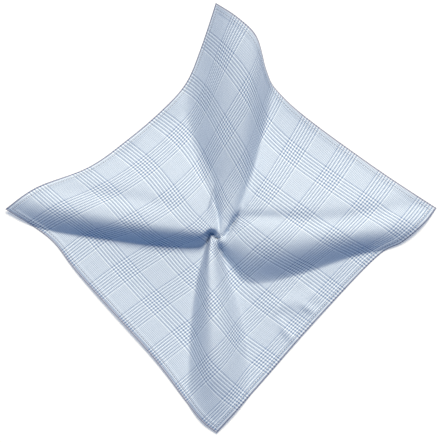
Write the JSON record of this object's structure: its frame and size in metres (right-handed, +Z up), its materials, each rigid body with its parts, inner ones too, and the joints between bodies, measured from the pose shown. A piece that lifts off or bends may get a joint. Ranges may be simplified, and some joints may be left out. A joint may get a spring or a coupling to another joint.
{
  "type": "pocket square",
  "caption": "Square of woven check cotton with a stitched hem, pinched at its middle and laid down so that soft folds run out to its corners.",
  "frame": {"origin": "on the surface that the cloth lies on, under the middle of its outline's box", "axes": "+Z up from that surface, +Y towards the corner at the top of the picture, +X towards the right-hand corner"},
  "size_m": [0.413, 0.41, 0.0465],
  "materials": {
    "cotton": "matte woven cotton in a pale blue and white check"
  },
  "bodies": {
    "root": {"cloth": "cotton"}
  },
  "joints": []
}
